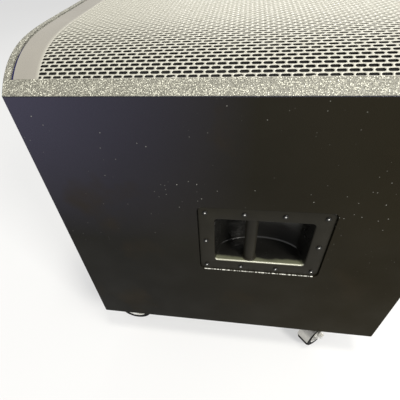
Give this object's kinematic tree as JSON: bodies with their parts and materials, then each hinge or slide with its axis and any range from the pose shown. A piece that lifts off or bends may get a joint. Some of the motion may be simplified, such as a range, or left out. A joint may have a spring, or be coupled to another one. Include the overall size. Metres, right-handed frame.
{
  "type": "line array speaker",
  "caption": "Plywood bass cabinet of a line array speaker with arched slotted grille, recessed bar handles and rear swivel casters.",
  "frame": {"origin": "on the floor under the middle of the whole object as it stands on its rear casters", "axes": "+Z is the grille side, which faces up in this pose; +X is the top of the cabinet in use; Y runs across its width"},
  "size_m": [0.61, 0.51, 0.6828],
  "materials": {
    "ply_paint": "satin black textured paint on plywood",
    "raw_ply": "bare birch plywood",
    "bezel_paint": "pebbled dark grey paint",
    "grille_paint": "fine powder coat",
    "foam": "open-cell foam",
    "handle_plastic": "fine-grained moulding",
    "rubber": "matt",
    "cast_aluminium": "as cast",
    "ferrite": "ground",
    "steel": "plated",
    "paper": "pressed paper pulp",
    "cloth": "treated cloth",
    "copper": "enamelled copper wire",
    "anodised": "black anodised",
    "circuit": "solder mask",
    "black_plastic": "satin moulding",
    "led": "clear green lens",
    "zinc": "bright zinc plate",
    "wheel": "solid black wheel"
  },
  "bodies": {
    "root": {"side_panel_near": "ply_paint", "side_panel_far": "ply_paint", "top_panel": "ply_paint", "bottom_panel": "ply_paint", "rear_panel": "ply_paint", "baffle": "ply_paint", "port_shelf": "ply_paint", "brace": "raw_ply", "front_bezel": "bezel_paint", "front_grille": "grille_paint", "grille_foam": "foam", "handle_cup_near": "handle_plastic", "handle_cup_far": "handle_plastic", "handle_bar_near": "handle_plastic", "handle_bar_far": "handle_plastic", "pole_socket": "handle_plastic", "rubber_foot_near_rear": "rubber", "rubber_foot_near_front": "rubber", "rubber_foot_far_rear": "rubber", "rubber_foot_far_front": "rubber", "woofer_basket": "cast_aluminium", "woofer_magnet": "ferrite", "woofer_top_plate": "steel", "woofer_pole_piece": "steel", "amp_chassis": "steel", "woofer_surround": "cloth", "woofer_spider": "cloth", "transformer": "copper", "amp_panel": "anodised", "amp_heatsink": "anodised", "circuit_board": "circuit", "capacitor_a": "black_plastic", "capacitor_b": "black_plastic", "power_switch_frame": "black_plastic", "mains_inlet": "black_plastic", "input_socket": "black_plastic", "output_socket": "black_plastic", "status_led": "led", "caster_plate_near_left": "zinc", "caster_plate_near_right": "zinc", "caster_plate_far_left": "zinc", "caster_plate_far_right": "zinc"},
    "cone": {"woofer_cone": "paper", "woofer_dust_cap": "paper", "voice_coil": "copper"},
    "knob": {"gain_knob": "black_plastic"},
    "rocker": {"power_rocker": "black_plastic"},
    "mode_slider": {"mode_switch": "black_plastic"},
    "fork_near_left": {"caster_fork_near_left": "zinc", "caster_axle_near_left": "zinc"},
    "wheel_near_left": {"caster_wheel_near_left": "wheel"},
    "fork_near_right": {"caster_fork_near_right": "zinc", "caster_axle_near_right": "zinc"},
    "wheel_near_right": {"caster_wheel_near_right": "wheel"},
    "fork_far_left": {"caster_fork_far_left": "zinc", "caster_axle_far_left": "zinc"},
    "wheel_far_left": {"caster_wheel_far_left": "wheel"},
    "fork_far_right": {"caster_fork_far_right": "zinc", "caster_axle_far_right": "zinc"},
    "wheel_far_right": {"caster_wheel_far_right": "wheel"}
  },
  "joints": [
    {"name": "swivel_near_left", "type": "hinge", "parent": "root", "child": "fork_near_left", "pos_m": [-0.215, -0.197, 0.0878], "axis": [0, 0, 1], "continuous": true},
    {"name": "roll_near_left", "type": "hinge", "parent": "fork_near_left", "child": "wheel_near_left", "pos_m": [-0.243, -0.197, 0.04], "axis": [0, -1, 0], "continuous": true},
    {"name": "swivel_near_right", "type": "hinge", "parent": "root", "child": "fork_near_right", "pos_m": [0.225, -0.197, 0.0878], "axis": [0, 0, 1], "continuous": true},
    {"name": "roll_near_right", "type": "hinge", "parent": "fork_near_right", "child": "wheel_near_right", "pos_m": [0.20419, -0.21574, 0.04], "axis": [0.6691, -0.7431, 0], "continuous": true},
    {"name": "swivel_far_left", "type": "hinge", "parent": "root", "child": "fork_far_left", "pos_m": [-0.215, 0.197, 0.0878], "axis": [0, 0, 1], "continuous": true},
    {"name": "roll_far_left", "type": "hinge", "parent": "fork_far_left", "child": "wheel_far_left", "pos_m": [-0.19355, 0.179, 0.04], "axis": [0.6428, 0.766, 0], "continuous": true},
    {"name": "swivel_far_right", "type": "hinge", "parent": "root", "child": "fork_far_right", "pos_m": [0.225, 0.197, 0.0878], "axis": [0, 0, 1], "continuous": true},
    {"name": "roll_far_right", "type": "hinge", "parent": "fork_far_right", "child": "wheel_far_right", "pos_m": [0.25038, 0.20883, 0.04], "axis": [-0.4226, 0.9063, 0], "continuous": true},
    {"name": "cone_travel", "type": "slide", "parent": "root", "child": "cone", "axis": [0, 0, 1], "range_m": [-0.008, 0.008], "stiffness_N_per_m": 4500, "deforming": ["woofer_surround", "woofer_spider"]},
    {"name": "gain_turn", "type": "hinge", "parent": "root", "child": "knob", "pos_m": [0.033, -0.12, 0.095], "axis": [0, 0, -1], "range_deg": [-135, 135]},
    {"name": "power_rock", "type": "hinge", "parent": "root", "child": "rocker", "pos_m": [-0.035, -0.07, 0.1029], "axis": [1, 0, 0], "range_deg": [0, 16]},
    {"name": "mode_slide", "type": "slide", "parent": "root", "child": "mode_slider", "axis": [1, 0, 0], "range_m": [0, 0.004]}
  ]
}
